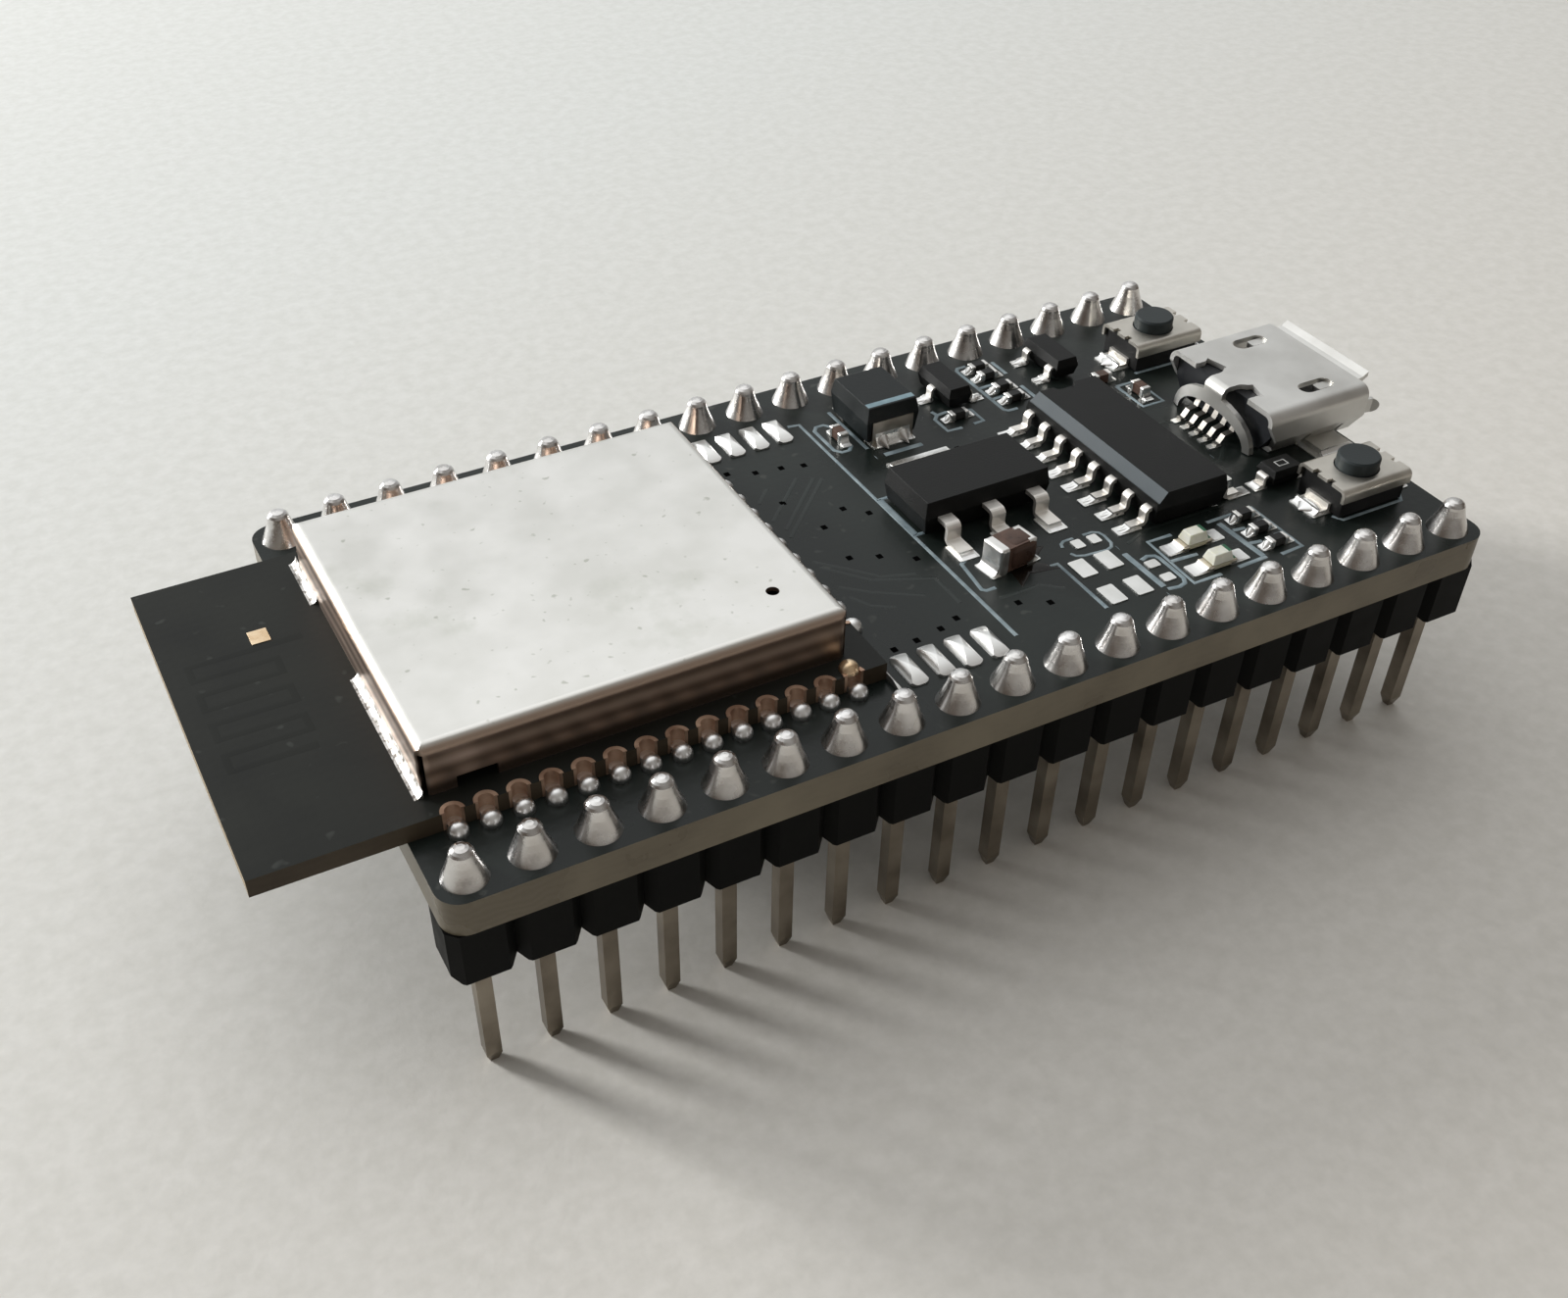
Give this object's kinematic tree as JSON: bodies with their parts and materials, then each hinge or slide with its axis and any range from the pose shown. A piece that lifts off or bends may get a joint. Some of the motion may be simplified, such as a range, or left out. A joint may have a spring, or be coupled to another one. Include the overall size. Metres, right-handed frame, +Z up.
{
  "type": "wifi module",
  "caption": "Castellated wifi module under a shield can, soldered to a carrier board with pin headers, a micro-USB socket, a serial chip, a regulator and small push switches.",
  "frame": {"origin": "centre of the bounding box, on the plane that the tips of the header pins stand on", "axes": "+X from the antenna end to the USB socket, +Z up out of the board's component side"},
  "size_m": [0.0552, 0.0254, 0.0132],
  "materials": {
    "carrier_board": "glossy solder mask on glass-fibre board",
    "header_plastic": "matt black moulding",
    "header_pins": "dull tinned brass",
    "pin_solder": "bright solder",
    "tinned_pads": "tinned copper",
    "module_board": "matt solder mask",
    "castellations": "plated copper",
    "module_solder": "bright solder",
    "spare_solder": "bright solder",
    "shield_can": "satin plated steel",
    "shield_solder": "bright solder",
    "radio_chip": "moulded package",
    "flash_chip": "moulded package",
    "crystal_can": "plated can",
    "module_passives": "chip parts",
    "chip_body": "moulded package",
    "chip_leads": "tinned leads",
    "regulator_body": "moulded package",
    "regulator_leads": "tinned leads",
    "tantalum_body": "moulded package",
    "tantalum_terminals": "tinned strips",
    "capacitor_bodies": "brown ceramic",
    "chip_ends": "tinned ends",
    "resistor_bodies": "white alumina",
    "resistor_films": "black glaze",
    "diode_body": "moulded package",
    "diode_leads": "tinned leads",
    "transistor_bodies": "moulded package",
    "transistor_leads": "tinned leads",
    "led_bases": "ivory laminate",
    "led_lenses": "clear resin",
    "led_ends": "gold plate",
    "component_solder": "bright solder",
    "usb_shell": "satin plated steel",
    "usb_insulator": "black moulding",
    "usb_contacts": "plated spring strip",
    "switch_base": "black moulding",
    "switch_cover": "satin stainless sheet",
    "switch_terminals": "silvered strip",
    "switch_dome": "spring sheet",
    "plunger": "moulded plastic"
  },
  "bodies": {
    "board": {"carrier_board": "carrier_board", "header_strip_near": "header_plastic", "header_strip_far": "header_plastic", "header_pins_near": "header_pins", "header_pins_far": "header_pins", "pin_solder_near": "pin_solder", "pin_solder_far": "pin_solder", "tinned_pads": "tinned_pads", "module_board": "module_board", "castellations": "castellations", "module_solder_near": "module_solder", "module_solder_far": "module_solder", "module_solder_end": "module_solder", "spare_solder": "spare_solder", "shield_can": "shield_can", "shield_solder": "shield_solder", "radio_chip": "radio_chip", "flash_chip": "flash_chip", "crystal_can": "crystal_can", "module_passives": "module_passives", "serial_chip_body": "chip_body", "serial_chip_leads": "chip_leads", "regulator_body": "regulator_body", "regulator_leads": "regulator_leads", "tantalum_body": "tantalum_body", "tantalum_terminals": "tantalum_terminals", "capacitor_bodies": "capacitor_bodies", "capacitor_ends": "chip_ends", "resistor_bodies": "resistor_bodies", "resistor_films": "resistor_films", "resistor_ends": "chip_ends", "diode_body": "diode_body", "diode_leads": "diode_leads", "transistor_bodies": "transistor_bodies", "transistor_leads": "transistor_leads", "led_bases": "led_bases", "led_lenses": "led_lenses", "led_ends": "led_ends", "component_solder": "component_solder", "usb_shell": "usb_shell", "usb_insulator": "usb_insulator", "usb_contacts": "usb_contacts", "switch_base_near": "switch_base", "switch_cover_near": "switch_cover", "switch_terminals_near": "switch_terminals", "switch_dome_near": "switch_dome", "switch_base_far": "switch_base", "switch_cover_far": "switch_cover", "switch_terminals_far": "switch_terminals", "switch_dome_far": "switch_dome"},
    "plunger_near": {"plunger_near": "plunger"},
    "plunger_far": {"plunger_far": "plunger"}
  },
  "joints": [
    {"name": "press_near", "type": "slide", "parent": "board", "child": "plunger_near", "axis": [0, 0, -1], "range_m": [0, 0.00025], "stiffness_N_per_m": 2000, "deforming": ["switch_dome_near"]},
    {"name": "press_far", "type": "slide", "parent": "board", "child": "plunger_far", "axis": [0, 0, -1], "range_m": [0, 0.00025], "stiffness_N_per_m": 2000, "deforming": ["switch_dome_far"]}
  ]
}
